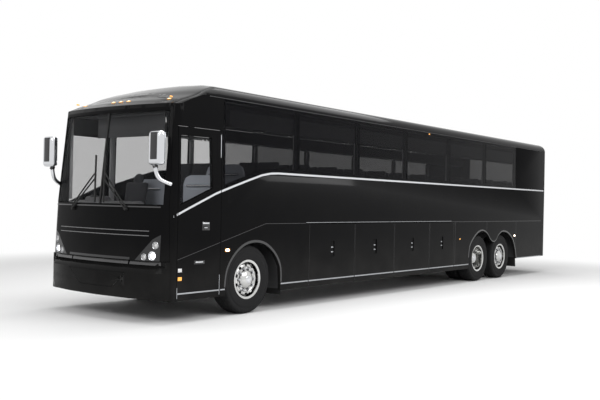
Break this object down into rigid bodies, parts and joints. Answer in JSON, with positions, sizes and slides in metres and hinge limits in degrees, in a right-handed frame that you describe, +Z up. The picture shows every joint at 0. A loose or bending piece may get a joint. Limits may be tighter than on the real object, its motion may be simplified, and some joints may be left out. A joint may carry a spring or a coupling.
{
  "type": "coach bus",
  "caption": "Three-axle high-deck touring coach with opening entrance door, luggage bay doors, engine door, steered front wheels and roof hatches.",
  "frame": {"origin": "on the ground under the middle of the overall box", "axes": "-Y points to the front of the bus, +X to its left (entrance) side, +Z up"},
  "size_m": [2.7, 13.9, 3.505],
  "materials": {
    "black_paint": "high gloss",
    "grey_paint": "satin",
    "glass": "tinted",
    "floor_vinyl": "matt",
    "seat_fabric": "woven",
    "trim_plastic": "grained",
    "lamp": "clear",
    "red_lamp": "clear",
    "chrome": "polished",
    "wheel_metal": "polished",
    "tyre": "matt",
    "axle_iron": "rough",
    "engine_iron": "rough"
  },
  "bodies": {
    "body": {"underframe": "grey_paint", "floor_deck": "floor_vinyl", "roof": "black_paint", "side_wall_left": "black_paint", "side_wall_right": "black_paint", "front_mask": "black_paint", "front_bumper": "black_paint", "rear_cap": "black_paint", "windscreen": "glass", "side_windows": "glass", "rear_window": "glass", "front_lamps": "lamp", "rear_lamps": "red_lamp", "engine": "engine_iron", "passenger_seats": "seat_fabric", "driver_station": "trim_plastic", "parcel_racks": "trim_plastic", "mirrors": "chrome", "front_axle": "axle_iron", "drive_axle": "axle_iron", "tag_axle": "axle_iron"},
    "knuckle_left": {"knuckle_left": "axle_iron"},
    "knuckle_right": {"knuckle_right": "axle_iron"},
    "front_wheel_left": {"front_rim_left": "wheel_metal", "front_tyre_left": "tyre"},
    "front_wheel_right": {"front_rim_right": "wheel_metal", "front_tyre_right": "tyre"},
    "drive_wheel_left": {"drive_rim_left": "wheel_metal", "drive_tyres_left": "tyre"},
    "drive_wheel_right": {"drive_rim_right": "wheel_metal", "drive_tyres_right": "tyre"},
    "tag_wheel_left": {"tag_rim_left": "wheel_metal", "tag_tyre_left": "tyre"},
    "tag_wheel_right": {"tag_rim_right": "wheel_metal", "tag_tyre_right": "tyre"},
    "entrance_arm": {"entrance_arm": "trim_plastic"},
    "entrance_door": {"entrance_leaf": "black_paint", "entrance_glass": "glass"},
    "bay_door_left_1": {"bay_door_left_1": "black_paint"},
    "bay_door_left_2": {"bay_door_left_2": "black_paint"},
    "bay_door_left_3": {"bay_door_left_3": "black_paint"},
    "bay_door_left_4": {"bay_door_left_4": "black_paint"},
    "bay_door_right_1": {"bay_door_right_1": "black_paint"},
    "bay_door_right_2": {"bay_door_right_2": "black_paint"},
    "bay_door_right_3": {"bay_door_right_3": "black_paint"},
    "bay_door_right_4": {"bay_door_right_4": "black_paint"},
    "engine_door": {"engine_door": "black_paint"},
    "roof_hatch_front": {"roof_hatch_front": "black_paint"},
    "roof_hatch_rear": {"roof_hatch_rear": "black_paint"}
  },
  "joints": [
    {"name": "steer_left", "type": "hinge", "parent": "body", "child": "knuckle_left", "pos_m": [0.95, -5.02, 0.525], "axis": [0, 0, 1], "range_deg": [-40, 40]},
    {"name": "steer_right", "type": "hinge", "parent": "body", "child": "knuckle_right", "pos_m": [-0.95, -5.02, 0.525], "axis": [0, 0, 1], "range_deg": [-40, 40]},
    {"name": "front_wheel_left_spin", "type": "hinge", "parent": "knuckle_left", "child": "front_wheel_left", "pos_m": [1.1, -5.02, 0.525], "axis": [1, 0, 0], "continuous": true},
    {"name": "front_wheel_right_spin", "type": "hinge", "parent": "knuckle_right", "child": "front_wheel_right", "pos_m": [-1.1, -5.02, 0.525], "axis": [1, 0, 0], "continuous": true},
    {"name": "drive_wheel_left_spin", "type": "hinge", "parent": "body", "child": "drive_wheel_left", "pos_m": [1.1, 2.96, 0.525], "axis": [1, 0, 0], "continuous": true},
    {"name": "drive_wheel_right_spin", "type": "hinge", "parent": "body", "child": "drive_wheel_right", "pos_m": [-1.1, 2.96, 0.525], "axis": [1, 0, 0], "continuous": true},
    {"name": "tag_wheel_left_spin", "type": "hinge", "parent": "body", "child": "tag_wheel_left", "pos_m": [1.1, 4.165, 0.525], "axis": [1, 0, 0], "continuous": true},
    {"name": "tag_wheel_right_spin", "type": "hinge", "parent": "body", "child": "tag_wheel_right", "pos_m": [-1.1, 4.165, 0.525], "axis": [1, 0, 0], "continuous": true},
    {"name": "entrance_arm_swing", "type": "hinge", "parent": "body", "child": "entrance_arm", "pos_m": [1.15, -6.48, 1.5], "axis": [0, 0, -1], "range_deg": [0, 86]},
    {"name": "entrance_door_swing", "type": "hinge", "parent": "entrance_arm", "child": "entrance_door", "pos_m": [1.15, -5.98, 1.5], "axis": [0, 0, 1], "range_deg": [0, 86]},
    {"name": "bay_door_left_1_lift", "type": "hinge", "parent": "body", "child": "bay_door_left_1", "pos_m": [1.297, -2.8665, 1.369], "axis": [0, -1, 0], "range_deg": [0, 88]},
    {"name": "bay_door_left_2_lift", "type": "hinge", "parent": "body", "child": "bay_door_left_2", "pos_m": [1.297, -1.5025, 1.369], "axis": [0, -1, 0], "range_deg": [0, 88]},
    {"name": "bay_door_left_3_lift", "type": "hinge", "parent": "body", "child": "bay_door_left_3", "pos_m": [1.297, -0.125, 1.369], "axis": [0, -1, 0], "range_deg": [0, 88]},
    {"name": "bay_door_left_4_lift", "type": "hinge", "parent": "body", "child": "bay_door_left_4", "pos_m": [1.297, 1.118, 1.369], "axis": [0, -1, 0], "range_deg": [0, 88]},
    {"name": "bay_door_right_1_lift", "type": "hinge", "parent": "body", "child": "bay_door_right_1", "pos_m": [-1.297, -2.8665, 1.369], "axis": [0, 1, 0], "range_deg": [0, 88]},
    {"name": "bay_door_right_2_lift", "type": "hinge", "parent": "body", "child": "bay_door_right_2", "pos_m": [-1.297, -1.5025, 1.369], "axis": [0, 1, 0], "range_deg": [0, 88]},
    {"name": "bay_door_right_3_lift", "type": "hinge", "parent": "body", "child": "bay_door_right_3", "pos_m": [-1.297, -0.125, 1.369], "axis": [0, 1, 0], "range_deg": [0, 88]},
    {"name": "bay_door_right_4_lift", "type": "hinge", "parent": "body", "child": "bay_door_right_4", "pos_m": [-1.297, 1.118, 1.369], "axis": [0, 1, 0], "range_deg": [0, 88]},
    {"name": "engine_door_lift", "type": "hinge", "parent": "body", "child": "engine_door", "pos_m": [0, 6.952, 1.556], "axis": [1, 0, 0], "range_deg": [0, 80]},
    {"name": "roof_hatch_front_lift", "type": "hinge", "parent": "body", "child": "roof_hatch_front", "pos_m": [0, -3.673, 3.508], "axis": [1, 0, 0], "range_deg": [0, 35]},
    {"name": "roof_hatch_rear_lift", "type": "hinge", "parent": "body", "child": "roof_hatch_rear", "pos_m": [0, 3.027, 3.508], "axis": [1, 0, 0], "range_deg": [0, 35]}
  ],
  "couplings": [
    {"joint": "steer_right", "follows": "steer_left", "ratio": 1},
    {"joint": "entrance_door_swing", "follows": "entrance_arm_swing", "ratio": 1}
  ]
}
